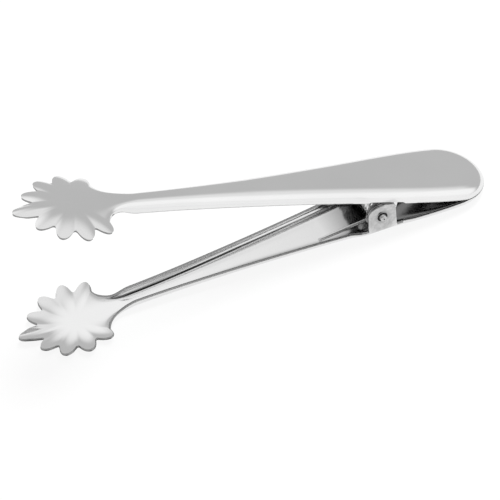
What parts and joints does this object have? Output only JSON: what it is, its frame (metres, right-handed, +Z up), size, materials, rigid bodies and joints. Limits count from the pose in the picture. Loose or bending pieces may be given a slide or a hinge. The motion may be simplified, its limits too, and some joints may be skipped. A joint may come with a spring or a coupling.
{
  "type": "ice tongs",
  "caption": "Hinged claw ice tongs: two pressed steel arms with petal-edged claws on a riveted pivot, held open by a torsion spring.",
  "frame": {"origin": "on the resting plane, below the middle of the lower arm", "axes": "+X from the tail to the claws along the lower arm, +Y along the hinge pin, +Z up from the lower arm's flat outer face towards the upper arm"},
  "size_m": [0.1823, 0.0352, 0.0593],
  "materials": {
    "polished_steel": "mirror-polished stainless steel",
    "spring_steel": "bright drawn stainless wire"
  },
  "bodies": {
    "lower": {"lower_arm": "polished_steel", "pivot_rivet": "polished_steel", "torsion_spring": "spring_steel"},
    "upper": {"upper_arm": "polished_steel"}
  },
  "joints": [
    {"name": "arm_pivot", "type": "hinge", "parent": "lower", "child": "upper", "pos_m": [-0.04505, 0, 0.00955], "axis": [0, 1, 0], "range_deg": [0, 23.9], "stiffness_Nm_per_rad": 0.25, "springref_deg": -28.65, "deforming": ["torsion_spring"]}
  ]
}
